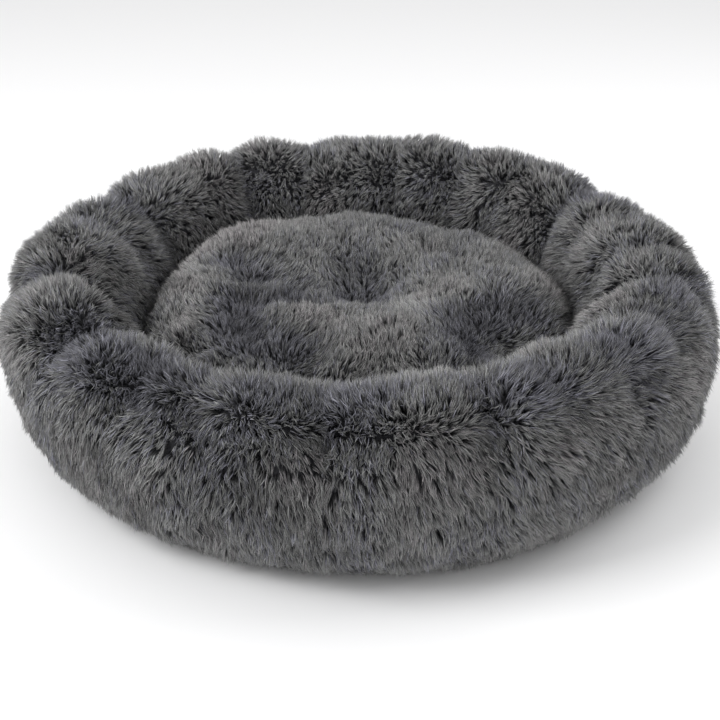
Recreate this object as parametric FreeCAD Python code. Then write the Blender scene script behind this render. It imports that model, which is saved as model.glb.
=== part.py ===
import FreeCAD, Part

import math
import os

# Round plush pet bed: a fibre-filled ring of shag on a sewn base, and a lift-out cushion.
# Millimetres. The origin is the middle of the base where it rests, +Z is up,
# and +Y is the side of the cushion that has the zip.

# ---- driving dimensions -------------------------------------------------------------

OUTER_DIAMETER = 700.0
HEIGHT = 192.0
PILE_DEPTH = 14.0            # backing and combed-down pile, as one panel
LINING_CLOTH = 1.5           # base cloth and well lining
GRIP_DOT_HEIGHT = 1.0
LIFT_CLEARANCE = 0.3         # between the cushion and the lining that it rests on

# ring section, as radius and height
BULGE_HEIGHT = 98.0          # where the outer wall is widest
HEM_RADIUS = 300.0
GATHER_SEAM = (326.0, 150.0)
CREST_RADIUS = 292.0
SHOULDER = (244.0, 162.0)
WAIST = (220.5, 90.0)        # near the narrowest place of the well
FOOT_RADIUS = 234.0
GATHER_CORD_RADIUS = 2.5
GATHER_CORD_DEPTH = 9.0
SEAM_CUT_REACH = 42.0        # the parting of wall and rim runs this far in from the gather seam,
SEAM_CUT_DROP = 14.0         # falls this much over that reach,
SEAM_CUT_RISE = 4.7          # and rises this much on its way out

# base
BASE_RADIUS = 296.0
BINDING_WIDTH = 3.5
BINDING_DROP = 0.5           # how far the binding folds under the base cloth
LINING_INSET = 1.5           # from the ring's foot, which leans in over the lining
GRIP_DOT_RADIUS = 4.0
GRIP_DOT_TIP_RADIUS = 3.2
GRIP_DOT_PITCH = 52.0
GRIP_DOT_RINGS = 5
DOTS_PER_RING_STEP = 6       # each ring has this many dots more than the ring inside it

# cushion section
CUSHION_RADIUS = 216.0
CUSHION_WIDEST_HEIGHT = 82.0
CUSHION_EDGE = (200.0, 122.0)
CUSHION_CROWN = (126.0, 144.0)
TUFT_SLOPE = (52.0, 123.0)   # half way down into the tufted middle
TUFT_HEIGHT = 108.0
FLAT_RADIUS = 149.0          # the flat of the underside
SEAM_BAND_LOW = (175.0, 15.0)
SEAM_BAND_HIGH = (199.0, 39.0)
SEAM_HEIGHT = 27.0           # where plush top cover meets plain under cover
UNDER_CLOTH = 2.0
BUTTON_DIMPLE = (34.0, 8.0)  # radius and depth of the tuck above the under button
BUTTON_RADIUS = 13.0
BUTTON_THICKNESS = 3.5
BUTTON_RECESS = 1.2          # the button hangs this far above the flat of the underside
THREAD_RADIUS = 1.2
TUFT_DISC_RADIUS = 9.0
TUFT_DISC_THICKNESS = 2.0

# zip along the cushion's lower seam
ZIP_START_DEG = 32.0
ZIP_SWEEP_DEG = 116.0
TOOTH_PITCH = 3.0
TOOTHLESS_ENDS = 2           # pitches of bare tape, shared between the zip's two ends
TOOTH_LENGTH = 1.25
TOOTH_INNER = -1.3           # a tooth reaches this far past the zip's middle line
TOOTH_OUTER = 3.0
TOOTH_LOW = 0.1              # lowest and highest face above the seam band
TOOTH_HIGH = 2.3
TAPE_OUTER = 15.0
TAPE_THICKNESS = 0.8
STOP_LENGTH = 2.4
SLIDER_LENGTH = 12.0
SLIDER_HALF_WIDTH = 6.0
SLIDER_FLANGE = 1.4
SLIDER_PLATE = 1.5
SLIDER_GAP = 0.4             # running clearance round teeth and tapes
BRIDGE_HALF_LENGTH = 4.0
BRIDGE_HALF_WIDTH = 1.0
BRIDGE_CLEAR = 2.3           # room under the bridge for the pull's cross bar
BRIDGE_THICKNESS = 1.2
PULL_LENGTH = 16.0
PULL_HALF_WIDTH = 3.5
PULL_ARM = 1.0
PULL_THICKNESS = 1.4

# blank care label
LABEL_AZIMUTH_DEG = 205.0
LABEL_WIDTH = 28.0
LABEL_LENGTH = 20.0
LABEL_THICKNESS = 0.8

# headings in a section, as angles from level
OUTWARD = 0.0
UP = math.pi / 2
INWARD = math.pi
DOWN = -math.pi / 2

FULL_TURN = 360.0
CLOTH_LEVEL = GRIP_DOT_HEIGHT + LINING_CLOTH        # top of the base cloth
LINING_LEVEL = CLOTH_LEVEL + LINING_CLOTH           # top of the well lining
CUSHION_LEVEL = LINING_LEVEL + LIFT_CLEARANCE       # underside of the cushion
OUTER_RADIUS = OUTER_DIAMETER / 2
BIG = 2 * OUTER_DIAMETER                            # larger than the bed in every way

Z_AXIS = FreeCAD.Vector(0, 0, 1)
ORIGIN = FreeCAD.Vector(0, 0, 0)


# ---- helpers ------------------------------------------------------------------------

def point(radius, height):
    """A point of a section, which lies in the plane y = 0."""
    return FreeCAD.Vector(radius, 0, height)


def line(start, end):
    return Part.LineSegment(point(*start), point(*end)).toShape()


def tangent_arc(start, heading, end):
    """An arc from start to end that leaves along heading, an angle from level, and the heading it ends with."""
    chord = math.atan2(end[1] - start[1], end[0] - start[0])
    turn = math.remainder(2 * (chord - heading), 2 * math.pi)
    half_length = math.dist(start, end) / 2
    bulge = half_length * math.tan(turn / 4)
    middle = (
        (start[0] + end[0]) / 2 + bulge * math.sin(chord),
        (start[1] + end[1]) / 2 - bulge * math.cos(chord),
    )
    arc = Part.Arc(point(*start), point(*middle), point(*end)).toShape()
    return arc, heading + turn


def arc_chain(places, heading):
    """Arcs through the places, each leaving in the direction in which the one before it arrived."""
    edges = []
    for start, end in zip(places, places[1:]):
        edge, heading = tangent_arc(start, heading, end)
        edges.append(edge)
    return edges


def closed_wire(edges):
    return Part.Wire(Part.__sortEdges__(edges))


def section(edges):
    """A flat face inside these edges, in the plane y = 0."""
    return Part.Face(closed_wire(edges))


def box_section(radii, heights):
    corners = [(radii[0], heights[0]), (radii[1], heights[0]), (radii[1], heights[1]), (radii[0], heights[1])]
    return outline_section(corners)


def outline_section(corners):
    """A flat face with straight sides through the corners."""
    following = corners[1:] + corners[:1]
    return section([line(start, end) for start, end in zip(corners, following)])


def spin(face):
    """The solid that a flat section makes in one full turn about the Z axis."""
    solid = face.Faces[0].revolve(ORIGIN, Z_AXIS, FULL_TURN)
    if solid.Volume < 0:
        solid.reverse()
    return solid


def disc(radius, low, high):
    return Part.makeCylinder(radius, high - low, point(0, low))


def without(shape, others):
    for other in others:
        shape = shape.cut(other)
    return shape


def write(name, shape):
    shape.exportStep("parts/" + name + ".step")
    print(name, "solids", len(shape.Solids), "valid", shape.isValid(), "volume", round(shape.Volume))


# ---- ring ---------------------------------------------------------------------------

def ring_outline():
    """Outer outline of the ring, run past the base cloth by one pile depth so that it can be offset."""
    below = CLOTH_LEVEL - PILE_DEPTH
    widest = (OUTER_RADIUS, BULGE_HEIGHT)
    hem = (HEM_RADIUS, CLOTH_LEVEL)
    crest = (CREST_RADIUS, HEIGHT)
    foot = (FOOT_RADIUS, CLOTH_LEVEL)
    return closed_wire(
        arc_chain([widest, hem], DOWN)
        + arc_chain([widest, GATHER_SEAM], UP)
        + arc_chain([crest, GATHER_SEAM], OUTWARD)
        + arc_chain([crest, SHOULDER, WAIST, foot], INWARD)
        + [
            line(foot, (FOOT_RADIUS, below)),
            line((FOOT_RADIUS, below), (HEM_RADIUS, below)),
            line((HEM_RADIUS, below), hem),
        ])


def below_gather_seam():
    """Section of the space outside and below the gather seam, down past the hem."""
    seam_radius, seam_height = GATHER_SEAM
    inner_radius = seam_radius - SEAM_CUT_REACH
    outer_radius = OUTER_RADIUS + PILE_DEPTH
    return outline_section([
        (inner_radius, seam_height - SEAM_CUT_DROP),
        GATHER_SEAM,
        (outer_radius, seam_height + SEAM_CUT_RISE),
        (outer_radius, -PILE_DEPTH),
        (inner_radius, -PILE_DEPTH),
    ])


def make_ring():
    outline = ring_outline()
    above_base = box_section((0, BIG), (CLOTH_LEVEL, BIG))
    whole = Part.Face(outline).common(above_base)
    fill = Part.Face(outline.makeOffset2D(-PILE_DEPTH)).common(above_base)
    cord_place = point(GATHER_SEAM[0] - GATHER_CORD_DEPTH, GATHER_SEAM[1] - GATHER_CORD_DEPTH / 2)
    cord = section([Part.Circle(cord_place, FreeCAD.Vector(0, 1, 0), GATHER_CORD_RADIUS).toShape()])
    plush = whole.cut(fill)
    outer_side = below_gather_seam()
    return {
        "outer_wall_panel": spin(plush.common(outer_side).cut(cord)),
        "rim_panel": spin(plush.cut(outer_side).cut(cord)),
        "ring_fill": spin(fill.cut(cord)),
        "gather_cord": spin(cord),
    }


# ---- base ---------------------------------------------------------------------------

def make_base():
    binding_low = GRIP_DOT_HEIGHT - BINDING_DROP
    binding = disc(BASE_RADIUS + BINDING_WIDTH, binding_low, CLOTH_LEVEL)
    binding = binding.cut(disc(BASE_RADIUS, binding_low, CLOTH_LEVEL))
    return {
        "base_cloth": disc(BASE_RADIUS, GRIP_DOT_HEIGHT, CLOTH_LEVEL),
        "base_binding": binding,
        "well_lining": disc(FOOT_RADIUS - LINING_INSET, CLOTH_LEVEL, LINING_LEVEL),
        "grip_dots": Part.Compound([grip_dot(x, y) for x, y in grip_dot_places()]),
    }


def grip_dot_places():
    """Middles of the dots, on rings round a dot at the centre."""
    places = [(0.0, 0.0)]
    for ring in range(1, GRIP_DOT_RINGS + 1):
        count = DOTS_PER_RING_STEP * ring
        for number in range(count):
            angle = 2 * math.pi * number / count
            radius = ring * GRIP_DOT_PITCH
            places.append((radius * math.cos(angle), radius * math.sin(angle)))
    return places


def grip_dot(x, y):
    return Part.makeCone(GRIP_DOT_TIP_RADIUS, GRIP_DOT_RADIUS, GRIP_DOT_HEIGHT, FreeCAD.Vector(x, y, 0))


# ---- cushion ------------------------------------------------------------------------

def cushion_half():
    """Outline of the cushion on one side of its middle line, as edges from under the middle to the tuft."""
    widest = (CUSHION_RADIUS, CUSHION_WIDEST_HEIGHT)
    tuft = (0.0, TUFT_HEIGHT)
    dimple_radius, dimple_depth = BUTTON_DIMPLE
    dimple_edge = (dimple_radius, CUSHION_LEVEL)
    flat_edge = (FLAT_RADIUS, CUSHION_LEVEL)
    return (
        [line((0.0, CUSHION_LEVEL + dimple_depth), dimple_edge), line(dimple_edge, flat_edge)]
        + arc_chain([flat_edge, SEAM_BAND_LOW], OUTWARD)
        + [line(SEAM_BAND_LOW, SEAM_BAND_HIGH)]
        + arc_chain([widest, SEAM_BAND_HIGH], DOWN)
        + arc_chain([widest, CUSHION_EDGE, CUSHION_CROWN, TUFT_SLOPE], UP)
        + arc_chain([tuft, TUFT_SLOPE], OUTWARD)
    )


def cushion_inside(depth):
    """Section of the cushion with this much taken off all round, on one side of the middle line."""
    flip = FreeCAD.Matrix()
    flip.A11 = -1
    half = cushion_half()
    both = half + [edge.transformGeometry(flip) for edge in half]
    return Part.Face(closed_wire(both).makeOffset2D(-depth)).common(box_section((0, BIG), (0, BIG)))


def make_cushion():
    middle = line((0.0, TUFT_HEIGHT), (0.0, CUSHION_LEVEL + BUTTON_DIMPLE[1]))
    whole = section(cushion_half() + [middle])
    top = whole.cut(cushion_inside(PILE_DEPTH)).common(box_section((0, BIG), (SEAM_HEIGHT, BIG)))
    under = whole.cut(cushion_inside(UNDER_CLOTH)).common(box_section((0, BIG), (0, SEAM_HEIGHT)))
    fill = without(whole, [top, under])

    button_low = CUSHION_LEVEL + BUTTON_RECESS
    button_high = button_low + BUTTON_THICKNESS
    disc_low = TUFT_HEIGHT - PILE_DEPTH
    button = box_section((0, BUTTON_RADIUS), (button_low, button_high))
    tuft_disc = box_section((0, TUFT_DISC_RADIUS), (disc_low, disc_low + TUFT_DISC_THICKNESS))
    thread = box_section((0, THREAD_RADIUS), (button_high, disc_low))
    sewn = [button, tuft_disc, thread]
    return {
        "cushion_top_cover": spin(without(top, sewn)),
        "cushion_under_cover": spin(without(under, sewn)),
        "cushion_fill": spin(without(fill, sewn)),
        "tuft_button": spin(button),
        "tuft_disc": spin(tuft_disc),
        "tuft_thread": spin(thread),
    }


# ---- zip and label ------------------------------------------------------------------
# Local frame on the seam band: X runs along the seam, Y across the band and up, Z straight out of it.

def seam_frame(azimuth_deg):
    azimuth = math.radians(azimuth_deg)
    outward = FreeCAD.Vector(math.cos(azimuth), math.sin(azimuth), 0)
    along = FreeCAD.Vector(-math.sin(azimuth), math.cos(azimuth), 0)
    across = (outward + Z_AXIS).normalize()
    normal = (outward - Z_AXIS).normalize()
    middle_radius = (SEAM_BAND_LOW[0] + SEAM_BAND_HIGH[0]) / 2
    place = outward * middle_radius + Z_AXIS * SEAM_HEIGHT
    return FreeCAD.Placement(FreeCAD.Matrix(
        along.x, across.x, normal.x, place.x,
        along.y, across.y, normal.y, place.y,
        along.z, across.z, normal.z, place.z,
        0, 0, 0, 1))


def block(x_range, y_range, z_range):
    corner = FreeCAD.Vector(x_range[0], y_range[0], z_range[0])
    return Part.makeBox(
        x_range[1] - x_range[0], y_range[1] - y_range[0], z_range[1] - z_range[0], corner)


def placed(shape, azimuth_deg):
    shape = shape.copy()
    shape.Placement = seam_frame(azimuth_deg).multiply(shape.Placement)
    return shape


def mirrored_range(span, side):
    return tuple(sorted((side * span[0], side * span[1])))


def zip_degrees(length):
    middle_radius = (SEAM_BAND_LOW[0] + SEAM_BAND_HIGH[0]) / 2
    return math.degrees(length / middle_radius)


def zip_tape(side):
    """One woven tape: a strip of the cone that the seam band lies on."""
    near, far = TOOTH_OUTER, TAPE_OUTER
    corners = [(near, TOOTH_LOW), (far, TOOTH_LOW), (far, TOOTH_LOW + TAPE_THICKNESS),
               (near, TOOTH_LOW + TAPE_THICKNESS)]
    frame = seam_frame(0)
    places = [frame.multVec(FreeCAD.Vector(0, side * across, out)) for across, out in corners]
    section = Part.makePolygon(places + places[:1])
    strip = Part.Face(section).revolve(ORIGIN, Z_AXIS, ZIP_SWEEP_DEG)
    strip.rotate(ORIGIN, Z_AXIS, ZIP_START_DEG)
    if strip.Volume < 0:
        strip.reverse()
    return strip


def tooth_count():
    return int(ZIP_SWEEP_DEG / zip_degrees(TOOTH_PITCH)) - TOOTHLESS_ENDS


def zip_teeth(side):
    """One row of teeth. The other row's teeth stand in its gaps."""
    tooth = block((0, TOOTH_LENGTH), mirrored_range((TOOTH_INNER, TOOTH_OUTER), side), (TOOTH_LOW, TOOTH_HIGH))
    shift = 0.0 if side > 0 else TOOTH_PITCH / 2
    first = ZIP_START_DEG + zip_degrees(TOOTH_PITCH)
    azimuths = [first + zip_degrees(shift + TOOTH_PITCH * number) for number in range(tooth_count())]
    return Part.Compound([placed(tooth, azimuth) for azimuth in azimuths])


def zip_stop(azimuth_deg):
    stop = block((-STOP_LENGTH / 2, STOP_LENGTH / 2), (-TOOTH_OUTER, TOOTH_OUTER), (TOOTH_LOW, TOOTH_HIGH))
    return placed(stop, azimuth_deg)


def slider_azimuth():
    return ZIP_START_DEG + zip_degrees(SLIDER_LENGTH / 2 + TOOTH_PITCH)


def plate_level():
    return TOOTH_HIGH + SLIDER_GAP


def zip_slider():
    """Plate over the teeth, a flange down each side and the bridge that holds the pull."""
    half = SLIDER_LENGTH / 2
    low = plate_level()
    high = low + SLIDER_PLATE
    width = SLIDER_HALF_WIDTH
    body = block((-half, half), (-width, width), (low, high))
    flange_low = TOOTH_LOW + TAPE_THICKNESS + SLIDER_GAP
    for side in (1, -1):
        across = mirrored_range((width - SLIDER_FLANGE, width), side)
        body = body.fuse(block((-half, half), across, (flange_low, low)))
    top = high + BRIDGE_CLEAR
    reach = BRIDGE_HALF_LENGTH
    across = (-BRIDGE_HALF_WIDTH, BRIDGE_HALF_WIDTH)
    body = body.fuse(block((-reach, reach), across, (top, top + BRIDGE_THICKNESS)))
    for side in (1, -1):
        leg = mirrored_range((reach - BRIDGE_THICKNESS, reach), side)
        body = body.fuse(block(leg, across, (high, top)))
    return placed(body.removeSplitter(), slider_azimuth())


def pull_pivot():
    """Height of the pull's cross bar over the seam band."""
    return plate_level() + SLIDER_PLATE + BRIDGE_CLEAR / 2


def zip_pull():
    """Flat tab that hangs straight out from the cross bar under the bridge."""
    pivot = pull_pivot()
    half = PULL_THICKNESS / 2
    far = pivot + PULL_LENGTH
    eye_end = pivot + BRIDGE_HALF_LENGTH + BRIDGE_THICKNESS
    width = PULL_HALF_WIDTH
    bar = Part.makeCylinder(half, 2 * width, FreeCAD.Vector(0, -width, pivot), FreeCAD.Vector(0, 1, 0))
    body = bar.fuse(block((-half, half), (-width, width), (eye_end, far)))
    for side in (1, -1):
        across = mirrored_range((width - PULL_ARM, width), side)
        body = body.fuse(block((-half, half), across, (pivot, eye_end)))
    return placed(body.removeSplitter(), slider_azimuth())


def care_label():
    label = block((-LABEL_WIDTH / 2, LABEL_WIDTH / 2), (-LABEL_THICKNESS / 2, LABEL_THICKNESS / 2),
                  (TOOTH_LOW, LABEL_LENGTH))
    return placed(label, LABEL_AZIMUTH_DEG)


def make_zip():
    end = ZIP_START_DEG + ZIP_SWEEP_DEG
    margin = zip_degrees(STOP_LENGTH / 2)
    return {
        "zip_tape_upper": zip_tape(1),
        "zip_tape_lower": zip_tape(-1),
        "zip_teeth_upper": zip_teeth(1),
        "zip_teeth_lower": zip_teeth(-1),
        "zip_stop_closed": zip_stop(ZIP_START_DEG + margin),
        "zip_stop_open": zip_stop(end - margin),
        "zip_slider": zip_slider(),
        "zip_pull": zip_pull(),
        "care_label": care_label(),
    }


# ---- build --------------------------------------------------------------------------

def main():
    os.makedirs("parts", exist_ok=True)
    for group in (make_ring(), make_base(), make_cushion(), make_zip()):
        for name, shape in group.items():
            write(name, shape)
    pivot = seam_frame(slider_azimuth()).multVec(FreeCAD.Vector(0, 0, pull_pivot()))
    print("pull pivot", pivot, "slider azimuth", slider_azimuth())


main()
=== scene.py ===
import math

import bpy
import numpy as np
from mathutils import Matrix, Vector


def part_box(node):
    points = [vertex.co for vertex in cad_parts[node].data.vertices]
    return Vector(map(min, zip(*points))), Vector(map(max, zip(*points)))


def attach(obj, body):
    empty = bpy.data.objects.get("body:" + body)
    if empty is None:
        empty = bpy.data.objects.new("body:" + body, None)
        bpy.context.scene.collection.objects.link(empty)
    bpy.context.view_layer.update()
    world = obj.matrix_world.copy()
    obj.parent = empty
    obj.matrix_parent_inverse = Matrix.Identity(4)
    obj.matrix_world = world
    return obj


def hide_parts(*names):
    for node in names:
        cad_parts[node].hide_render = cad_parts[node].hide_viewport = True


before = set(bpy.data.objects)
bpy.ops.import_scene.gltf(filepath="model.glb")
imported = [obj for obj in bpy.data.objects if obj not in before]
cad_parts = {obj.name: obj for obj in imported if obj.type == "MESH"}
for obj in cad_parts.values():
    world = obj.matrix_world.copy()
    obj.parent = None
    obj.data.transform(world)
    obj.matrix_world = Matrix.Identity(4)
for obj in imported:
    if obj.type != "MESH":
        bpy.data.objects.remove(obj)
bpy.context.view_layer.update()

# Round plush pet bed. Metres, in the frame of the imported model: +Z up, the camera in front at -Y.

# ---- sizes that come from the frame ---------------------------------------------------

PAD_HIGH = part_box("cushion_top_cover")[1]
UNDER_LOW, UNDER_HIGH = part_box("cushion_under_cover")
CLOTH_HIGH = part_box("base_cloth")[1]

OUTER_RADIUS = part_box("outer_wall_panel")[1].x
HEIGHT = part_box("rim_panel")[1].z
BASE_RADIUS = CLOTH_HIGH.x
FLOOR_OF_RING = CLOTH_HIGH.z
PAD_RADIUS = PAD_HIGH.x
PAD_TOP = PAD_HIGH.z
PAD_SEAM = UNDER_HIGH.z
PAD_BOTTOM = UNDER_LOW.z
SEAM_RADIUS = 0.187              # of the cushion's lower seam
ZIP_START, ZIP_END = 32, 148     # azimuths from +X between which the zip runs, in degrees
ZIP_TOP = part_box("zip_tape_upper")[1].z

# ---- looks ----------------------------------------------------------------------------

SEED = 20
FULL_TURN = 2 * math.pi

# Backing cloth of the ring, from the hem up the wall, over the rim and down to the foot:
# share of the outer radius, share of the bed's height, and how strongly it folds there.
RING_SECTION = [
    (0.837, 0.021, 0.00), (0.900, 0.130, 0.05), (0.945, 0.310, 0.12), (0.961, 0.500, 0.20),
    (0.955, 0.635, 0.40), (0.936, 0.720, 0.85), (0.922, 0.762, 1.00), (0.914, 0.805, 0.95),
    (0.890, 0.868, 0.75), (0.846, 0.903, 0.60), (0.794, 0.886, 0.60), (0.741, 0.815, 0.70),
    (0.700, 0.712, 0.75), (0.672, 0.560, 0.60), (0.660, 0.385, 0.30), (0.664, 0.180, 0.05),
    (0.686, 0.021, 0.00),
]
GATHER_SHARE = 0.765             # height of the gather seam, as a share of the bed's height
RING_COLUMNS = 360
RING_ROWS = 90

# Folds that the gather seam makes: azimuth from the front, how far the inner end is turned
# from that, both in degrees, then depth at the seam, depth over the crest, and width.
FOLDS = [
    (-6, 6, 0.010, 0.006, 0.020), (-22, -5, 0.018, 0.009, 0.030), (-36, 6, 0.012, 0.012, 0.016),
    (-54, 12, 0.014, 0.021, 0.022), (-80, 20, 0.016, 0.026, 0.024), (-99, -6, 0.010, 0.007, 0.018),
    (-117, 5, 0.014, 0.015, 0.026), (-134, -8, 0.010, 0.006, 0.018), (-151, 6, 0.014, 0.014, 0.018),
    (-168, 7, 0.012, 0.009, 0.018), (173, -8, 0.010, 0.005, 0.018), (156, -7, 0.014, 0.009, 0.022),
    (138, 9, 0.010, 0.005, 0.018), (124, -8, 0.014, 0.017, 0.024), (104, 6, 0.009, 0.009, 0.018),
    (88, -5, 0.011, 0.009, 0.018), (71, 6, 0.010, 0.011, 0.018), (57, -4, 0.009, 0.009, 0.018),
    (43, 5, 0.018, 0.012, 0.026), (29, -3, 0.010, 0.008, 0.018), (17, 6, 0.016, 0.008, 0.022),
]
FOLD_SHARPNESS = 1.4             # 2 is a soft trough, 1 a crease
CREST_FOLD_GAIN = 1.5            # on the depths over the crest
PUFF_SWELL = 0.004
SEAM_ALONG = 0.34                # where along the section the gather seam lies
CREST_ALONG = 0.50
SEAM_BAND = 0.06                 # how far along the section the seam's wandering is felt
RIM_TILT = 0.0105                # the rim is this much higher at the back and lower at the front
RIM_DROP = 0.003
RIM_FADE = (0.55, 0.90)          # shares of the height between which the rim's rises set in
BULGE_FADE = (0.1, 0.6)          # the same for the bulges
# Where the whole rim sags or stands higher: azimuth and half-width in degrees, and rise.
RIM_LEVELS = [
    (4, 15, -0.009), (-62, 13, 0.004), (-20, 10, -0.003), (28, 9, -0.002), (158, 16, 0.002),
]
# Where the ring leans out or in: azimuth and half-width in degrees, and distance.
RING_BULGES = [
    (103, 17, -0.011), (143, 15, 0.010), (-148, 13, 0.008), (-112, 14, -0.007), (90, 10, -0.004),
]
UNEVEN_CELL = 0.105              # size of the ring's broad unevenness
UNEVEN_ALL = 0.002               # its depth everywhere
UNEVEN_PUFFED = 0.009            # and its added depth where the backing folds most
LUMP_CELL = 0.045
LUMP_DEPTH = 0.004
SEAM_ZONE = 0.014                # height of the band where the pile parts at the gather seam
# painted shade: a dark band along the gather seam, as dark as a hollow this deep
SEAM_PAINTED_SHADE = 0.014
SEAM_PAINTED_SHADE_RISE = 0.006         # how far above the seam that band of painted shade is darkest
SEAM_WAVE = 0.007                # how far the gather seam wanders up and down
SEAM_WAVE_CELL = 0.35            # length of those wanderings, on a circle of radius 1
CORD_RADIUS = 0.0025
CORD_DEPTH = 0.006
CORD_SIDES = 10

# Places pressed into the cushion's top, and raised on it: x, y, radius and depth.
PAD_DENTS = [
    (0.000, 0.000, 0.018, 0.006), (-0.006, 0.022, 0.024, 0.013), (0.005, -0.004, 0.020, 0.015),
    (0.000, -0.032, 0.012, 0.014), (-0.002, 0.048, 0.022, 0.010), (-0.032, -0.036, 0.018, 0.010),
    (-0.062, -0.046, 0.022, 0.024), (-0.098, -0.044, 0.020, 0.010),
    (-0.138, 0.046, 0.024, 0.013), (-0.112, 0.006, 0.022, 0.012), (-0.122, -0.052, 0.018, 0.018),
    (-0.118, -0.088, 0.020, 0.020), (-0.106, -0.120, 0.024, 0.014), (-0.064, -0.152, 0.028, 0.012),
    (0.144, -0.086, 0.040, 0.034), (0.108, -0.100, 0.030, 0.014), (0.180, -0.088, 0.032, 0.014),
    (0.118, -0.136, 0.034, 0.014), (0.080, 0.130, 0.050, 0.005),
    (0.000, -0.100, 0.040, -0.005), (-0.056, -0.104, 0.030, -0.008), (0.055, -0.064, 0.028, -0.008),
    (0.098, -0.036, 0.026, -0.008), (-0.140, 0.110, 0.055, -0.014), (-0.175, 0.050, 0.040, -0.005),
    (0.195, 0.000, 0.035, -0.008), (-0.165, -0.030, 0.030, -0.006), (-0.040, 0.040, 0.030, -0.005),
    (0.060, 0.060, 0.050, -0.002),
]
TUFT_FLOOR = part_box("tuft_disc")[1].z + 0.001    # the top cover over the tuft's inner disc
TUFT_REACH = 0.022
PAD_TILT = 0.035                 # rise of the cushion's top towards the back
DENT_FADE = (0.62, 0.85)         # shares of the cushion's height between which its dents set in
PAD_UNEVEN = 0.005
PAD_UNEVEN_CELL = 0.07
PAD_COLUMNS = 200
PAD_ROWS = 46

RING_UNDERSIDE = -0.85           # no pile where the normal's upward part is less than this
PAD_UNDERSIDE = -0.90
HIDDEN_SHARE = 0.5               # of full pile, where ring and cushion hide each other
RING_HIDDEN_HEIGHT = 0.085       # lower than this and inside that radius, on the ring
RING_HIDDEN_RADIUS = 0.27
PAD_HIDDEN_HEIGHT = 0.075
SEAM_EXTRA = 0.8                 # share of pile added at the gather seam, outside this radius
SEAM_EXTRA_RADIUS = 0.29
ZIP_MARGIN = 4                   # degrees past each end of the zip that carry no pile

LOCK_AREA = 11.5e-6              # backing area under one lock of pile
PAD_LOCK_SHARE = 0.85            # of that area, on the cushion
STRANDS_PER_LOCK = 5
LOCK_RADIUS = 0.0022
LOCK_GATHER = 0.36               # how far apart a lock's tips stay, as a share of its roots
STRAND_WIDTH = 0.0010
KNEE = 0.55                      # where along its length a strand bends and is widest
WALL_PILE = 0.021                # length of the pile on each part
RIM_PILE = 0.023
INNER_PILE = 0.020
PAD_PILE = 0.019
HEM_PILE_SHARE = 0.65            # of the full length, down at the hem
DENT_SHORTENING = 14             # share of the length lost in a dent, per metre of its depth
DENT_SHORTENING_END = 0.030      # and the depth at which that ends
TUFT_SHORTENING = 0.45           # share of the length lost at the tuft
LENGTH_NOISE = 0.15
LOCK_LENGTHS = (0.90, 1.06)      # random shares of the length, of a lock and of its strands
STRAND_LENGTHS = (0.86, 1.05)
STRAND_WIDTHS = (0.75, 1.2)
TUFT_SIZE = 0.012                # of the tufts that neighbouring locks lie together in
RUFFLE = 0.44                    # how much neighbouring locks lean together or apart
BROAD_RUFFLE = 0.7               # the same over tufts 2.5 times as broad, as a share of it
ROOT_LEAN_SHARE = 0.6            # how much of a lock's lean its lower part takes
STEEPEST_LEAN = 0.8              # most that the slope of a dent leans the pile
LOCK_STRAY = 0.10                # random lean of a lock, of its strands' lower and upper parts
LOWER_STRAY = 0.08
UPPER_STRAY = 0.14
LOCK_SHADE_SPREAD = 0.08         # random shade of a lock, and of its single strands
STRAND_SHADE_SPREAD = 0.22
STRAND_TINT_SPREAD = 0.45
MAX_STRANDS = 32000              # per piece
ROOT_SINK = 0.002
BINDING_REACH = 0.005            # the pile stays above the base cloth and its binding
ABOVE_BASE = 0.0020              # by this much
ABOVE_FLOOR = 0.0013             # lowest that any strand reaches
PILE_TOP = HEIGHT + 0.0146       # no strand stands higher
SHADE_MAP = "OFBake"             # UV map whose columns hold a strand's shade, rising from root to tip
SHADE_COLUMNS = 42               # for each tint
# Base shade of the pile on the ring and on the cushion: one cloth, the cushion's painted darker than the
# ring's, painted shade
RING_TONE = 0.57
PAD_TONE = 0.48
SHADE_NOISE = 0.10               # depth of the uneven shade, over broad patches and over tufts
MEAN_TINT = 1.05                 # place among the tints
TINT_NOISE = 0.7
HOLLOW_PAINTED_SHADE = 14.0              # how much darker the pile is painted in a hollow, per metre of its depth: painted shade, and paler on a rise, painted light
HOLLOW_PAINTED_TINT = 45                 # and how much bluer it is painted there, painted shade, and warmer on a rise
RING_PAINTED_SHADE_RANGE = (-0.008, 0.034)   # highest rise and deepest hollow that the painted shade and light follow
# the same for the cushion's painted shade and light
PAD_PAINTED_SHADE_RANGE = (-0.012, 0.048)
DENT_PAINTED_SHADE = 1.9                # how deep a dent's painted shade counts, as a share of its depth
TUFT_PAINTED_SHADE = 0.034              # and the painted shade added at the tuft

# Pile colours: greys by shade, and the tints that they come in.
GREYS = [
    (0.02, 0.060), (0.20, 0.115), (0.36, 0.170), (0.50, 0.225), (0.64, 0.300), (0.80, 0.405), (0.98, 0.570),
]
TINTS = [(0.97, 0.97, 1.12), (1.00, 1.01, 0.97), (1.05, 0.99, 0.99)]

PLUMP_PRESSURE = 4
PLUMP_FRAMES = 20
PLUMP_CAP = 0.004                # furthest that the cloth step moves a place
RING_VOXEL = 0.0075              # mesh size for the cloth step
PAD_VOXEL = 0.006
RING_HELD_BELOW = 0.020          # the cloth step leaves the ring as it is below this height
SEAM_HELD = 0.010                # and this far above and below the drawn seam,
SEAM_HELD_DROP = 0.004           # which it takes to lie this much lower
SEAM_HELD_RADIUS = 0.82          # outside this share of the outer radius
PAD_HELD_BELOW = 0.045
TUFT_HELD = 0.016
FILLING_GAP = 0.003              # between a cover and the filling inside it

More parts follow.
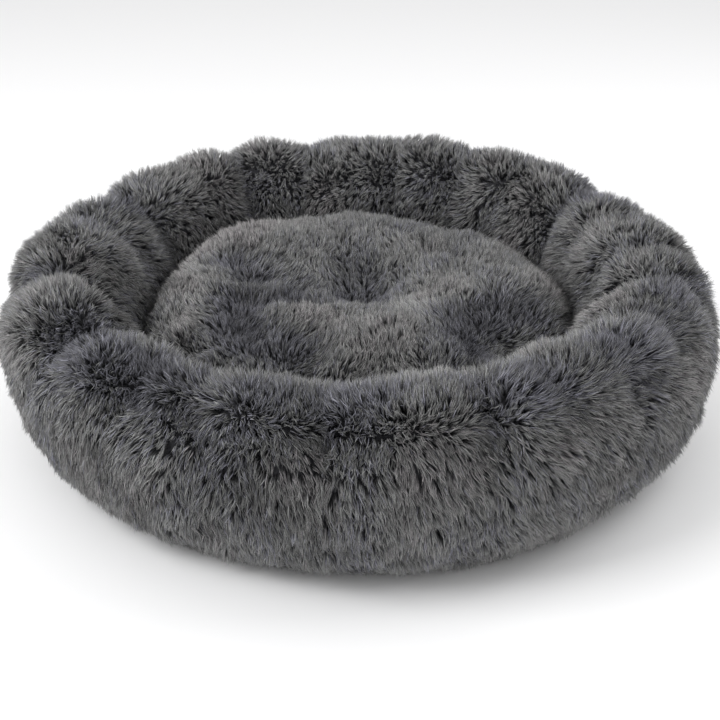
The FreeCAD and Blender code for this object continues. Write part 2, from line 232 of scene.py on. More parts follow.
CAMERA_ELEVATION = 25            # degrees
CAMERA_DISTANCE = 1.20
CAMERA_MIDDLE = 0.47             # height that the distance counts from, as a share of the bed's
CAMERA_AIM_DROP = 0.044          # how far below that it looks
CAMERA_LENS = 58.6               # millimetres, on a sensor 36 wide
LIGHTS = [("key", (-1.6, -0.7, 1.7), 32), ("fill", (1.4, 0.3, 1.5), 11)]    # name, place, power
LIGHT_TARGET = (0, 0, 0.1)
LIGHT_SIZE = 1.2
WORLD_STRENGTH = 0.80
FLOOR_CORNERS = [(-30, -30, 0), (30, -30, 0), (30, 30, 0), (-30, 30, 0)]


# ---- noise and small maths --------------------------------------------------------------

NOISE_TABLE = np.random.default_rng(SEED).uniform(-1, 1, 4096)


def lattice_noise(points, cell, seed):
    """Smooth values from -1 to 1, the same for the same place."""
    scaled = np.asarray(points, float) / cell + 1000.0
    low = np.floor(scaled).astype(np.int64)
    part = scaled - low
    part = part * part * (3 - 2 * part)
    total = np.zeros(len(scaled))
    for corner in range(8):
        step = np.array([corner & 1, corner >> 1 & 1, corner >> 2 & 1])
        spot = low + step
        key = spot[:, 0] * 73856093 ^ spot[:, 1] * 19349663 ^ spot[:, 2] * 83492791 ^ seed * 2654435761
        weight = np.prod(np.where(step == 1, part, 1 - part), axis=1)
        total += weight * NOISE_TABLE[key & 4095]
    return total


def layered_noise(points, cell, seed):
    return (lattice_noise(points, cell, seed) + 0.5 * lattice_noise(points, cell / 2, seed + 1)
            + 0.25 * lattice_noise(points, cell / 4, seed + 2)) / 1.3


def unit(vectors):
    return vectors / np.maximum(np.linalg.norm(vectors, axis=-1, keepdims=True), 1e-9)


def smooth_step(low, high, values):
    part = np.clip((values - low) / (high - low), 0, 1)
    return part * part * (3 - 2 * part)


def smooth_path(points, count):
    """Evenly spaced points on a smooth curve through the points (Catmull-Rom)."""
    given = np.array(points, float)
    ends = np.vstack([2 * given[0] - given[1], given, 2 * given[-1] - given[-2]])
    dense = []
    for index in range(len(given) - 1):
        a, b, c, d = ends[index:index + 4]
        t = np.linspace(0, 1, 24, endpoint=False)[:, None]
        dense.append(0.5 * (2 * b + (c - a) * t + (2 * a - 5 * b + 4 * c - d) * t ** 2
                            + (3 * b - a - 3 * c + d) * t ** 3))
    dense = np.vstack(dense + [given[-1:]])
    walked = np.concatenate([[0], np.cumsum(np.linalg.norm(np.diff(dense[:, :2], axis=0), axis=1))])
    wanted = np.linspace(0, walked[-1], count)
    return np.stack([np.interp(wanted, walked, column) for column in dense.T], 1)


# ---- meshes -------------------------------------------------------------------------------

def new_object(name, vertices, faces):
    mesh = bpy.data.meshes.new(name)
    mesh.from_pydata(np.asarray(vertices).tolist(), [], faces)
    mesh.update()
    piece = bpy.data.objects.new(name, mesh)
    bpy.context.scene.collection.objects.link(piece)
    return piece


def grid_faces(rows, columns, close_rows):
    """Quads of a grid whose columns run round a full turn."""
    faces = []
    last = rows if close_rows else rows - 1
    for row in range(last):
        below = row * columns
        above = (row + 1) % rows * columns
        for column in range(columns):
            following = (column + 1) % columns
            faces.append((below + column, below + following, above + following, above + column))
    return faces


def full_circle(count):
    return np.linspace(0, FULL_TURN, count, endpoint=False)


def radius_of(places):
    return np.hypot(places[:, 0], places[:, 1])


def azimuth_of(places):
    """Azimuth from the front, in radians."""
    return np.arctan2(places[:, 0], -places[:, 1])


def turned(section, azimuths):
    """Places of a section of radii and heights, turned about the axis: a grid of points by azimuths."""
    return np.stack([
        section[:, 0:1] * np.sin(azimuths)[None, :], section[:, 0:1] * -np.cos(azimuths)[None, :],
        np.repeat(section[:, 1:2], len(azimuths), axis=1)], -1)


def positions(piece):
    flat = np.zeros(len(piece.data.vertices) * 3)
    piece.data.vertices.foreach_get("co", flat)
    return flat.reshape(-1, 3)


def set_positions(piece, places):
    piece.data.vertices.foreach_set("co", np.asarray(places, float).ravel())
    piece.data.update()


def vertex_normals(piece):
    flat = np.zeros(len(piece.data.vertices) * 3)
    piece.data.vertex_normals.foreach_get("vector", flat)
    return flat.reshape(-1, 3)


def shade_smooth(piece):
    piece.data.polygons.foreach_set("use_smooth", [True] * len(piece.data.polygons))
    piece.data.update()


# ---- ring backing -------------------------------------------------------------------------

def turn_from(azimuth, degrees):
    """The way round from an azimuth in degrees, from -pi to pi."""
    return (azimuth - np.radians(degrees) + math.pi) % FULL_TURN - math.pi


def fold_depth(azimuth, along, radius):
    """How far the gathers fold the backing in, at an azimuth and a share of the way along the section."""
    over = smooth_step(SEAM_ALONG + 0.03, CREST_ALONG - 0.04, along)
    inward = np.clip((along - SEAM_ALONG) / (1 - SEAM_ALONG), -0.3, 1)
    total = 0
    for degrees, turn, seam_depth, crest_depth, width in FOLDS:
        gap = turn_from(azimuth, degrees + turn * inward)
        depth = seam_depth + (crest_depth * CREST_FOLD_GAIN - seam_depth) * over
        total = total + depth * np.exp(-np.abs(gap * radius / width) ** FOLD_SHARPNESS)
    return total


def seam_wave(azimuth):
    """How far the gather seam lies above or below its mean height."""
    spokes = np.stack([np.sin(azimuth), -np.cos(azimuth), np.zeros(len(azimuth))], 1)
    return SEAM_WAVE * layered_noise(spokes, SEAM_WAVE_CELL, 5)


def swell(places, weight, fold):
    """How far the backing stands out from the even section: puffs, less folds, and unevenness."""
    uneven = layered_noise(places, UNEVEN_CELL, 3).reshape(np.shape(fold))
    lumps = lattice_noise(places, LUMP_CELL, 7).reshape(np.shape(fold))
    return (weight * (PUFF_SWELL - fold) + (UNEVEN_ALL + UNEVEN_PUFFED * weight) * uneven
            + LUMP_DEPTH * weight * lumps)


def ring_shape(azimuths, rows):
    """Places of the ring's backing on a grid of section points by azimuths, with puffs and folds."""
    section = smooth_path(RING_SECTION, rows)
    radius = section[:, 0:1] * OUTER_RADIUS
    height = section[:, 1:2] * HEIGHT
    tangent = unit(np.gradient(np.hstack([radius, height]), axis=0))
    out_radius, out_height = tangent[:, 1:2], -tangent[:, 0:1]
    along = np.linspace(0, 1, rows)[:, None]
    places = turned(np.hstack([radius, height]), azimuths)
    fold = fold_depth(azimuths[None, :], along, radius)
    offset = swell(places.reshape(-1, 3), section[:, 2:3], fold)

    lean = np.zeros(len(azimuths))
    for degrees, half_width, reach in RING_BULGES:
        lean += reach * np.exp(-(turn_from(azimuths, degrees) / math.radians(half_width)) ** 2)
    rise = -RIM_TILT * np.cos(azimuths) - RIM_DROP
    for degrees, half_width, reach in RIM_LEVELS:
        rise += reach * np.exp(-(turn_from(azimuths, degrees) / math.radians(half_width)) ** 2)
    upper = smooth_step(*RIM_FADE, section[:, 1:2])
    near_seam = np.exp(-((along - SEAM_ALONG) / SEAM_BAND) ** 2)
    radial = radius + out_radius * offset + lean[None, :] * smooth_step(*BULGE_FADE, section[:, 1:2])
    upward = height + out_height * offset + rise[None, :] * upper + seam_wave(azimuths)[None, :] * near_seam
    return np.stack([
        radial * np.sin(azimuths)[None, :], radial * -np.cos(azimuths)[None, :],
        np.maximum(upward, FLOOR_OF_RING)], -1)


def make_ring_backing():
    """Closed backing of the whole ring: the gathered skin, and a flat underside on the base cloth."""
    places = ring_shape(full_circle(RING_COLUMNS), RING_ROWS)
    piece = new_object("ring_backing", places.reshape(-1, 3), grid_faces(RING_ROWS, RING_COLUMNS, True))
    shade_smooth(piece)
    return piece


def make_gather_cord():
    """The drawn elastic in the gather seam, just under the backing, so that it follows the folds."""
    places = ring_shape(full_circle(RING_COLUMNS), RING_ROWS)
    row = int(SEAM_ALONG * (RING_ROWS - 1))
    middle, before, after = places[row], places[row - 3], places[row + 3]
    along = unit(np.roll(middle, -1, axis=0) - np.roll(middle, 1, axis=0))
    inward = unit(np.cross(after - before, along))
    inward *= np.sign((inward * -middle * [1, 1, 0]).sum(axis=1, keepdims=True))
    upward = np.cross(along, inward)
    middle = middle + CORD_DEPTH * inward
    turns = full_circle(CORD_SIDES)[:, None, None]
    tube = middle + CORD_RADIUS * (np.cos(turns) * inward + np.sin(turns) * upward)
    piece = new_object("gather_elastic", tube.reshape(-1, 3), grid_faces(CORD_SIDES, RING_COLUMNS, True))
    shade_smooth(piece)
    return piece


# ---- cushion backing ------------------------------------------------------------------------

def pad_profile():
    """Section of the cushion's backing: seam, side, crown and middle, as radius and height."""
    side = PAD_RADIUS - 0.0120
    crown = PAD_TOP - 0.018
    return [
        (SEAM_RADIUS - 0.0005, PAD_SEAM), (SEAM_RADIUS + 0.0110, PAD_SEAM + 0.0115),
        (side - 0.003, 0.060), (side, 0.082), (side - 0.007, 0.102), (side - 0.024, crown - 0.009),
        (side - 0.048, crown), (side - 0.080, crown + 0.001), (0.078, crown - 0.006),
        (0.038, crown - 0.017), (0.0, crown - 0.026),
    ]


def make_pad_backing():
    """Backing of the cushion's plush cover, with its dents, closed by a flat inner floor."""
    profile = smooth_path(pad_profile(), PAD_ROWS)[:-1]
    places = turned(profile, full_circle(PAD_COLUMNS)).reshape(-1, 3)
    rows = len(profile)
    faces = grid_faces(rows, PAD_COLUMNS, False)
    top = len(places)
    floor = top + 1
    last = (rows - 1) * PAD_COLUMNS
    places = np.vstack([places, [0, 0, profile[-1, 1]], [0, 0, profile[0, 1]]])
    for column in range(PAD_COLUMNS):
        following = (column + 1) % PAD_COLUMNS
        faces.append((last + column, last + following, top))
        faces.append((following, column, floor))
    piece = new_object("cushion_backing", places, faces)
    set_positions(piece, dented(positions(piece)))
    shade_smooth(piece)
    return piece


def on_top(places):
    """How fully a place belongs to the cushion's top, from 0 to 1."""
    low, high = DENT_FADE
    return smooth_step(PAD_TOP * low, PAD_TOP * high, places[:, 2])


def dent_depth(places):
    """How deep the cushion's top is pressed in, and the way out of the dents times their steepness."""
    depth = np.zeros(len(places))
    away = np.zeros((len(places), 3))
    for x, y, radius, deepest in PAD_DENTS:
        apart = places[:, :2] - [x, y]
        here = deepest * np.exp(-(apart ** 2).sum(axis=1) / radius ** 2)
        depth += here
        away[:, :2] += (2 * here / radius ** 2)[:, None] * apart
    weight = on_top(places)
    return weight * depth, weight[:, None] * away


def dented(places):
    """The cushion's top pressed in at its dents, tilted, and slightly uneven all over."""
    depth, _ = dent_depth(places)
    weight = on_top(places)
    places = places.copy()
    uneven = PAD_UNEVEN * layered_noise(places, PAD_UNEVEN_CELL, 11)
    places[:, 2] += weight * (uneven + PAD_TILT * places[:, 1]) - depth
    middle = (weight > 0) & (radius_of(places) < 3 * TUFT_REACH)
    places[:, 2] = np.where(middle, np.maximum(places[:, 2], TUFT_FLOOR), places[:, 2])
    return places


# ---- cloth step ------------------------------------------------------------------------------

def plump(piece, voxel, is_held):
    """Blow a closed cover up by cloth simulation, its held places fixed, and keep the shape it takes."""
    even = piece.modifiers.new("even_mesh", "REMESH")
    even.mode = "VOXEL"
    even.voxel_size = voxel
    mesh = bpy.data.meshes.new_from_object(piece.evaluated_get(bpy.context.evaluated_depsgraph_get()))
    piece.modifiers.clear()
    piece.data = mesh
    start = positions(piece)
    held = piece.vertex_groups.new(name="held")
    held.add(np.flatnonzero(is_held(start)).tolist(), 1.0, "REPLACE")
    cover = piece.modifiers.new("cover", "CLOTH")
    cover.settings.use_pressure = True
    cover.settings.uniform_pressure_force = PLUMP_PRESSURE
    cover.settings.vertex_group_mass = "held"
    cover.settings.effector_weights.gravity = 0
    cover.point_cache.frame_start = 1
    cover.point_cache.frame_end = PLUMP_FRAMES
    scene = bpy.context.scene
    for number in range(1, PLUMP_FRAMES + 1):
        scene.frame_set(number)
    shaped = bpy.data.meshes.new_from_object(piece.evaluated_get(bpy.context.evaluated_depsgraph_get()))
    piece.modifiers.clear()
    piece.vertex_groups.clear()
    piece.data = shaped
    moved = positions(piece) - start
    reach = np.linalg.norm(moved, axis=1, keepdims=True)
    set_positions(piece, start + moved * np.minimum(1, PLUMP_CAP / np.maximum(reach, 1e-9)))
    scene.frame_set(1)
    shade_smooth(piece)


def ring_is_held(places):
    """The hem, the foot and the drawn gather seam don't swell."""
    radius = radius_of(places)
    near_seam = np.abs(places[:, 2] - GATHER_SHARE * HEIGHT + SEAM_HELD_DROP) < SEAM_HELD
    return (places[:, 2] < RING_HELD_BELOW) | (near_seam & (radius > SEAM_HELD_RADIUS * OUTER_RADIUS))


def pad_is_held(places):
    """The seam band and the tufted middle don't swell."""
    return (places[:, 2] < PAD_HELD_BELOW) | (radius_of(places) < TUFT_HELD)


# ---- fillings, under cover and base ---------------------------------------------------------

def make_filling(name, cover):
    """The loose fibre filling inside a cover."""
    inside = positions(cover) - FILLING_GAP * vertex_normals(cover)
    piece = bpy.data.objects.new(name, cover.data.copy())
    piece.data.materials.clear()
    bpy.context.scene.collection.objects.link(piece)
    set_positions(piece, inside)
    return piece


def revolve(name, section, columns, shape):
    """A closed skin: a closed section turned about the axis, then moved by shape(places)."""
    section = np.asarray(section)
    places = turned(section, full_circle(columns)).reshape(-1, 3)
    piece = new_object(name, shape(places), grid_faces(len(section), columns, True))
    shade_smooth(piece)
    return piece


def make_under_cover():
    """Plain cloth under the cushion, puckered at its seam and drawn up at the tuft."""
    seam = (SEAM_RADIUS + 0.0004, PAD_SEAM)
    low = PAD_BOTTOM + 0.0002
    outside = smooth_path([
        seam, (SEAM_RADIUS - 0.006, PAD_SEAM - 0.0062), (0.175, 0.0150), (0.166, 0.0085),
        (0.149, low + 0.0004), (0.120, low), (0.080, low), (0.040, low), (0.034, low + 0.0002),
        (0.020, low + 0.0034), (0.004, low + 0.0071),
    ], 60)
    inside = outside[::-1] + [-0.0003, 0.0016]

    def pucker(places):
        radius = radius_of(places)
        turn = np.arctan2(places[:, 1], places[:, 0])
        spoke = np.stack([np.cos(turn), np.sin(turn), np.zeros(len(turn))], 1)
        seam_pull = 0.0016 * smooth_step(0.135, 0.170, radius) * smooth_step(0.186, 0.176, radius)
        tuft_pull = 0.0011 * smooth_step(0.065, 0.020, radius)
        places = places.copy()
        places[:, 2] += seam_pull * (1 + lattice_noise(spoke, 0.035, 71))
        places[:, 2] += tuft_pull * (1 + lattice_noise(spoke, 0.16, 72))
        places[:, 2] += 0.0005 * (1 + layered_noise(places, 0.03, 73)) * smooth_step(0.15, 0.13, radius)
        return places

    return revolve("cushion_under_cloth", np.vstack([outside, inside]), 480, pucker)


def make_cloth_disc(name, node, seed):
    """A round of stretched cloth in the place of a node: flat, with a turned edge and faint ripples."""
    low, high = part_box(node)
    radius, thick = high.x, high.z - low.z
    top = [(radius * share, high.z) for share in (0.004, 0.25, 0.5, 0.75, 0.9, 0.97, 0.985)]
    edge = [(radius * 0.995, high.z - 0.15 * thick), (radius, high.z - 0.5 * thick),
            (radius * 0.995, low.z + 0.15 * thick)]
    section = smooth_path(top, 60).tolist() + edge
    section += [(r, low.z) for r, _ in reversed(section[:60])]

    def ripple(places):
        level = 0.25 * thick * layered_noise(places * [1, 1, 0], 0.05, seed)
        middle = (low.z + high.z) / 2
        flat = radius_of(places) < radius * 0.98
        moved = places.copy()
        rippled = middle + (places[:, 2] - middle) * 0.7 + level * 0.55
        moved[:, 2] = np.where(flat, rippled, moved[:, 2])
        return np.column_stack([moved[:, :2], np.clip(moved[:, 2], low.z, high.z)])

    return revolve(name, section, 240, ripple)


# ---- pile -----------------------------------------------------------------------------------

def surface_samples(piece, area_each, rng, keep):
    """Places and normals spread over a mesh, one for each area, thinned by keep(places, normals)."""
    mesh = piece.data
    mesh.calc_loop_triangles()
    corners = np.zeros(len(mesh.loop_triangles) * 3, np.int32)
    mesh.loop_triangles.foreach_get("vertices", corners)
    corners = corners.reshape(-1, 3)
    places, normals = positions(piece), vertex_normals(piece)
    a, b, c = (places[corners[:, n]] for n in range(3))
    area = np.linalg.norm(np.cross(b - a, c - a), axis=1) / 2
    area = area * keep((a + b + c) / 3, unit(normals[corners].mean(axis=1)))
    walked = np.cumsum(area)
    count = int(walked[-1] / area_each)
    wanted = (np.arange(count) + rng.uniform(0, 1, count)) / count * walked[-1]
    chosen = np.minimum(np.searchsorted(walked, wanted), len(area) - 1)
    u, v = rng.uniform(0, 1, count), rng.uniform(0, 1, count)
    over = u + v > 1
    u[over], v[over] = 1 - u[over], 1 - v[over]
    weights = np.stack([1 - u - v, u, v], 1)[:, :, None]
    spots = (places[corners[chosen]] * weights).sum(axis=1)
    facing = unit((normals[corners[chosen]] * weights).sum(axis=1))
    return spots, facing


def tangent_frame(normals):
    """Two directions across each normal."""
    helper = np.where(np.abs(normals[:, 2:3]) < 0.9, [[0.0, 0.0, 1.0]], [[1.0, 0.0, 0.0]])
    first = unit(np.cross(helper, normals))
    return first, np.cross(normals, first)


def downhill(normals):
    """The way down along the surface, short where the surface is level."""
    down = np.array([[0.0, 0.0, -1.0]])
    return down - (normals @ down[0])[:, None] * normals


def way_along(radius, height):
    """The share of the way along the ring's section that is nearest to a radius and height."""
    section = smooth_path(RING_SECTION, RING_ROWS)
    nearest = np.zeros(len(radius), int)
    least = np.full(len(radius), 1e9)
    for number, (share, rise, _) in enumerate(section):
        gap = (radius - share * OUTER_RADIUS) ** 2 + (height - rise * HEIGHT) ** 2
        nearest = np.where(gap < least, number, nearest)
        least = np.minimum(gap, least)
    return nearest / (RING_ROWS - 1), section[nearest, 2]


def ring_comb(places, normals):
    """How each lock of the ring's pile lies: root and tip directions, length, and how deep a painted shade
    it takes in folds and at the seam, paler on puffs.
    """
    radius = radius_of(places)
    azimuth = azimuth_of(places)
    out = np.stack([places[:, 0] / radius, places[:, 1] / radius, np.zeros(len(radius))], 1)
    round_way = np.stack([-out[:, 1], out[:, 0], out[:, 2]], 1)
    upward = np.array([[0.0, 0.0, 1.0]])
    down = downhill(normals)
    seam = GATHER_SHARE * HEIGHT + seam_wave(azimuth)
    facing_out = (normals * out).sum(axis=1)
    wall = (smooth_step(seam + 0.004, seam - 0.010, places[:, 2]) * (facing_out > -0.2))[:, None]
    inner = (smooth_step(0.40, 0.85, -facing_out))[:, None] * (1 - wall)
    rim = 1 - wall - inner
    hidden = smooth_step(0.125, 0.105, places[:, 2])[:, None]

    swirl = layered_noise(places, 0.06, 21)[:, None] * round_way
    lift = layered_noise(places, 0.045, 22)[:, None]
    low = smooth_step(0.10, 0.02, places[:, 2])[:, None]
    front = (0.5 - 0.5 * out[:, 1:2]) ** 2
    right = 0.5 + 0.5 * out[:, 0:1]
    face = smooth_step(0.85, 0.60, normals[:, 2:3]) * (facing_out > 0)[:, None]
    lean = (0.10 + 0.40 * front * right) * round_way
    sweep = 0.55 * front * face * (round_way + 0.2 * upward)
    root = (wall * ((0.95 - 0.35 * low) * normals + 0.60 * down + 0.6 * lean + 0.18 * swirl)
            + rim * (normals + 0.10 * down + 0.4 * sweep + 0.40 * swirl)
            + inner * ((0.90 - 0.40 * hidden) * normals + 0.40 * down + 0.50 * swirl))
    tip = (wall * ((0.50 - 0.30 * low + 0.15 * lift) * normals + down + lean + 0.28 * swirl)
           + rim * (0.80 * normals + 0.15 * down + sweep + 0.70 * swirl + (0.15 + 0.25 * lift) * upward)
           + inner * ((0.45 - 0.25 * hidden) * normals + 0.70 * down + 0.90 * swirl))
    length = (WALL_PILE * wall + RIM_PILE * rim + INNER_PILE * inner)[:, 0]
    length *= HEM_PILE_SHARE + (1 - HEM_PILE_SHARE) * smooth_step(0.008, 0.050, places[:, 2])
    along, weight = way_along(radius, places[:, 2])
    # painted shade: a dark band at the gather seam and darker in the folds; paler on the puffs, painted
    # light
    near_seam = np.exp(-((places[:, 2] - seam - SEAM_PAINTED_SHADE_RISE) / SEAM_ZONE) ** 2) * (facing_out > -0.2)
    painted_shade_depth = SEAM_PAINTED_SHADE * near_seam - swell(places, weight, fold_depth(azimuth, along, radius))
    return unit(root), unit(tip), length, np.clip(painted_shade_depth, *RING_PAINTED_SHADE_RANGE)


def pad_comb(places, normals):
    """How the cushion's pile lies: out of the dents, and up at the back."""
    depth, away = dent_depth(places)
    steepness = np.linalg.norm(away, axis=1, keepdims=True)
    away = away * np.minimum(1, STEEPEST_LEAN / np.maximum(steepness, 1e-9))
    rise = (smooth_step(0.050, 0.125, places[:, 2:3]) - 0.45) * [[0.0, 0.0, 1.0]]
    nap = np.array([[0.30, -0.05, 0.0]])
    swirl = np.stack([layered_noise(places, 0.05, 31), layered_noise(places, 0.05, 32),
                      np.zeros(len(places))], 1)
    root = normals + 0.5 * rise + 1.1 * away + 0.25 * nap + 0.30 * swirl
    tip = 0.75 * normals + 0.8 * rise + 1.6 * away + 0.55 * nap + 0.55 * swirl
    tufted = np.exp(-(radius_of(places) / TUFT_REACH) ** 2)
    shortened = DENT_SHORTENING * np.clip(depth, 0, DENT_SHORTENING_END)
    length = PAD_PILE * (1 - shortened) * (1 - TUFT_SHORTENING * tufted)
    # painted shade in the dents and at the tuft; paler on the raised places, painted light
    painted_shade_depth = DENT_PAINTED_SHADE * depth + TUFT_PAINTED_SHADE * tufted
    return unit(root), unit(tip), length, np.clip(painted_shade_depth, *PAD_PAINTED_SHADE_RANGE)


def grow_locks(places, normals, comb, tone, rng):
    """Strands of all locks: root, knee and tip places, and their columns in the shade map."""
    root_way, tip_way, length, painted_shade_depth = comb(places, normals)
    count = len(places)
    ruffle = np.stack([lattice_noise(places, TUFT_SIZE, 51 + axis) for axis in range(3)], 1)
    broad = np.stack([lattice_noise(places, 2.5 * TUFT_SIZE, 61 + axis) for axis in range(3)], 1)
    ruffle += BROAD_RUFFLE * broad
    stray = RUFFLE * ruffle + rng.normal(0, LOCK_STRAY, (count, 3))
    uneven = 1 + LENGTH_NOISE * lattice_noise(places, 0.013, 55)
    length = length * uneven * rng.uniform(*LOCK_LENGTHS, count)
    root_way = unit(root_way + ROOT_LEAN_SHARE * stray)
    tip_way = unit(tip_way + stray)
    first, second = tangent_frame(normals)
    shade = tone + SHADE_NOISE * layered_noise(places, 0.05, 41)
    shade = shade + SHADE_NOISE * lattice_noise(places, TUFT_SIZE, 43)
    # painted shade: darker and bluer where a lock's root lies in a hollow; paler and warmer on a rise,
    # painted light
    shade += rng.normal(0, LOCK_SHADE_SPREAD, count) - HOLLOW_PAINTED_SHADE * painted_shade_depth
    hue = MEAN_TINT + TINT_NOISE * layered_noise(places, 0.04, 42) - HOLLOW_PAINTED_TINT * painted_shade_depth
    made = []
    for _ in range(STRANDS_PER_LOCK):
        angle = rng.uniform(0, FULL_TURN, count)
        reach = LOCK_RADIUS * np.sqrt(rng.uniform(0, 1, count))
        shift = (reach * np.cos(angle))[:, None] * first + (reach * np.sin(angle))[:, None] * second
        grown = (length * rng.uniform(*STRAND_LENGTHS, count))[:, None]
        root = places + shift - ROOT_SINK * normals
        lower = unit(root_way + rng.normal(0, LOWER_STRAY, (count, 3)))
        upper = unit(tip_way + rng.normal(0, UPPER_STRAY, (count, 3)))
        knee = places + 0.9 * shift + KNEE * grown * lower
        tip = places + LOCK_GATHER * shift + KNEE * grown * root_way + (1 - KNEE) * grown * upper
        tint = np.clip(np.round(hue + rng.normal(0, STRAND_TINT_SPREAD, count)), 0, len(TINTS) - 1)
        grey = np.clip(shade + rng.normal(0, STRAND_SHADE_SPREAD, count), 0, 0.999)
        made.append((root, knee, tip, tint * SHADE_COLUMNS + np.floor(grey * SHADE_COLUMNS)))
    return [np.concatenate(parts) for parts in zip(*made)]


def strand_mesh(name, root, knee, tip, column, width):
    """One mesh of closed three-sided strands, pointed at both ends, with their shades in a UV map."""
    count = len(root)
    lower, upper = unit(knee - root), unit(tip - knee)
    side, other = tangent_frame(unit(lower + upper))
    vertices = np.zeros((count, 5, 3))
    vertices[:, 0] = root
    vertices[:, 4] = tip
    for corner in range(3):
        angle = FULL_TURN * corner / 3
        across = math.cos(angle) * side + math.sin(angle) * other
        vertices[:, 1 + corner] = knee + 0.5 * width[:, None] * across
    corners = np.array([(2, 1, 0), (3, 2, 0), (1, 3, 0), (1, 2, 4), (2, 3, 4), (3, 1, 4)]).ravel()

    mesh = bpy.data.meshes.new(name)
    mesh.vertices.add(count * 5)
    mesh.vertices.foreach_set("co", vertices.ravel())
    loops = (np.arange(count)[:, None] * 5 + corners[None, :]).ravel()
    mesh.loops.add(len(loops))
    mesh.loops.foreach_set("vertex_index", loops)
    mesh.polygons.add(len(loops) // 3)
    mesh.polygons.foreach_set("loop_start", np.arange(0, len(loops), 3))
    mesh.polygons.foreach_set("use_smooth", np.ones(len(loops) // 3, bool))
    mesh.update(calc_edges=True)
    mesh.validate()

    # across the map: a narrow column for each tint and shade; up the map: root to tip
    along = np.array([0.02, KNEE, KNEE, KNEE, 0.98])
    beside = np.array([0.5, 0.15, 0.5, 0.85, 0.5])
    u = (column[:, None] + beside[corners][None, :]) / (SHADE_COLUMNS * len(TINTS))
    v = np.repeat(along[corners][None, :], count, axis=0)
    layer = mesh.uv_layers.new(name=SHADE_MAP)
    layer.data.foreach_set("uv", np.stack([u, v], -1).ravel())
    piece = bpy.data.objects.new(name, mesh)
    bpy.context.scene.collection.objects.link(piece)
    return piece


def make_pile(name, backing, comb, tone, area_each, body, material, rng, keep):
    """The pile of one backing, in pieces of neighbouring tufts."""
    places, normals = surface_samples(backing, area_each, rng, keep)
    order = np.argsort(azimuth_of(places), kind="stable")
    places, normals = places[order], normals[order]
    parts = max(1, math.ceil(len(places) * STRANDS_PER_LOCK / MAX_STRANDS))
    for number, chosen in enumerate(np.array_split(np.arange(len(places)), parts)):
        root, knee, tip, column = grow_locks(places[chosen], normals[chosen], comb, tone, rng)
        for end in (knee, tip):
            over_base = radius_of(end) < BASE_RADIUS + BINDING_REACH
            lowest = np.where(over_base, FLOOR_OF_RING + ABOVE_BASE, ABOVE_FLOOR)
            end[:, 2] = np.clip(end[:, 2], lowest, PILE_TOP)
        width = STRAND_WIDTH * rng.uniform(*STRAND_WIDTHS, len(root)) * math.sqrt(area_each / LOCK_AREA)
        piece = strand_mesh(f"{name}_{number + 1:02d}", root, knee, tip, column, width)
        piece.data.materials.append(material)
        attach(piece, body)


# ---- materials --------------------------------------------------------------------------------

def new_material(name, roughness):
    material = bpy.data.materials.new(name)
    material.use_nodes = True
    shader = material.node_tree.nodes["Principled BSDF"]
    shader.inputs["Roughness"].default_value = roughness
    return material, material.node_tree, shader


def ramp(tree, stops):
    node = tree.nodes.new("ShaderNodeValToRGB")
    elements = node.color_ramp.elements
    while len(elements) < len(stops):
        elements.new(0.5)
    for element, (place, colour) in zip(elements, stops):
        element.position = place
        element.color = (*colour, 1)
    return node


def pile_material():
    """Shag: each strand dark at its root and paler at its tip, painted shade of the pile shading itself, in
    a shade of its own.
    """
    material, tree, shader = new_material("shag_pile", 0.52)
    link = tree.links.new
    where = tree.nodes.new("ShaderNodeUVMap")
    where.uv_map = SHADE_MAP
    split = tree.nodes.new("ShaderNodeSeparateXYZ")
    link(where.outputs["UV"], split.inputs["Vector"])
    stops = []
    for number, tint in enumerate(TINTS):
        for place, grey in GREYS:
            stops.append(((number + place) / len(TINTS), [grey * part for part in tint]))
    shade = ramp(tree, stops)
    link(split.outputs["X"], shade.inputs["Fac"])
    # painted shade: darker and a little bluer towards the root, deep in the pile
    depth = ramp(tree, [(0.0, (0.20, 0.20, 0.23)), (0.5, (0.50, 0.50, 0.53)), (1.0, (1.0, 1.0, 1.0))])
    link(split.outputs["Y"], depth.inputs["Fac"])
    mixed = tree.nodes.new("ShaderNodeMix")
    mixed.data_type = "RGBA"
    mixed.blend_type = "MULTIPLY"
    mixed.inputs["Factor"].default_value = 1.0
    link(shade.outputs["Color"], mixed.inputs[6])
    link(depth.outputs["Color"], mixed.inputs[7])
    link(mixed.outputs[2], shader.inputs["Base Color"])
    shader.inputs["Specular IOR Level"].default_value = 0.35
    shader.inputs["Sheen Weight"].default_value = 0.15
    shader.inputs["Sheen Roughness"].default_value = 0.5
    return material


def backing_material():
    """Knitted backing under the pile: near black, mottled."""
    material, tree, shader = new_material("plush_backing", 0.95)
    link = tree.links.new
    place = tree.nodes.new("ShaderNodeTexCoord")
    noise = tree.nodes.new("ShaderNodeTexNoise")
    noise.inputs["Scale"].default_value = 220
    noise.inputs["Detail"].default_value = 3
    link(place.outputs["Object"], noise.inputs["Vector"])
    tone = ramp(tree, [(0.3, (0.022, 0.022, 0.026)), (0.7, (0.060, 0.060, 0.068))])
    link(noise.outputs["Fac"], tone.inputs["Fac"])
    link(tone.outputs["Color"], shader.inputs["Base Color"])
    bump = tree.nodes.new("ShaderNodeBump")
    bump.inputs["Distance"].default_value = 0.001
    link(noise.outputs["Fac"], bump.inputs["Height"])
    link(bump.outputs["Normal"], shader.inputs["Normal"])
    return material


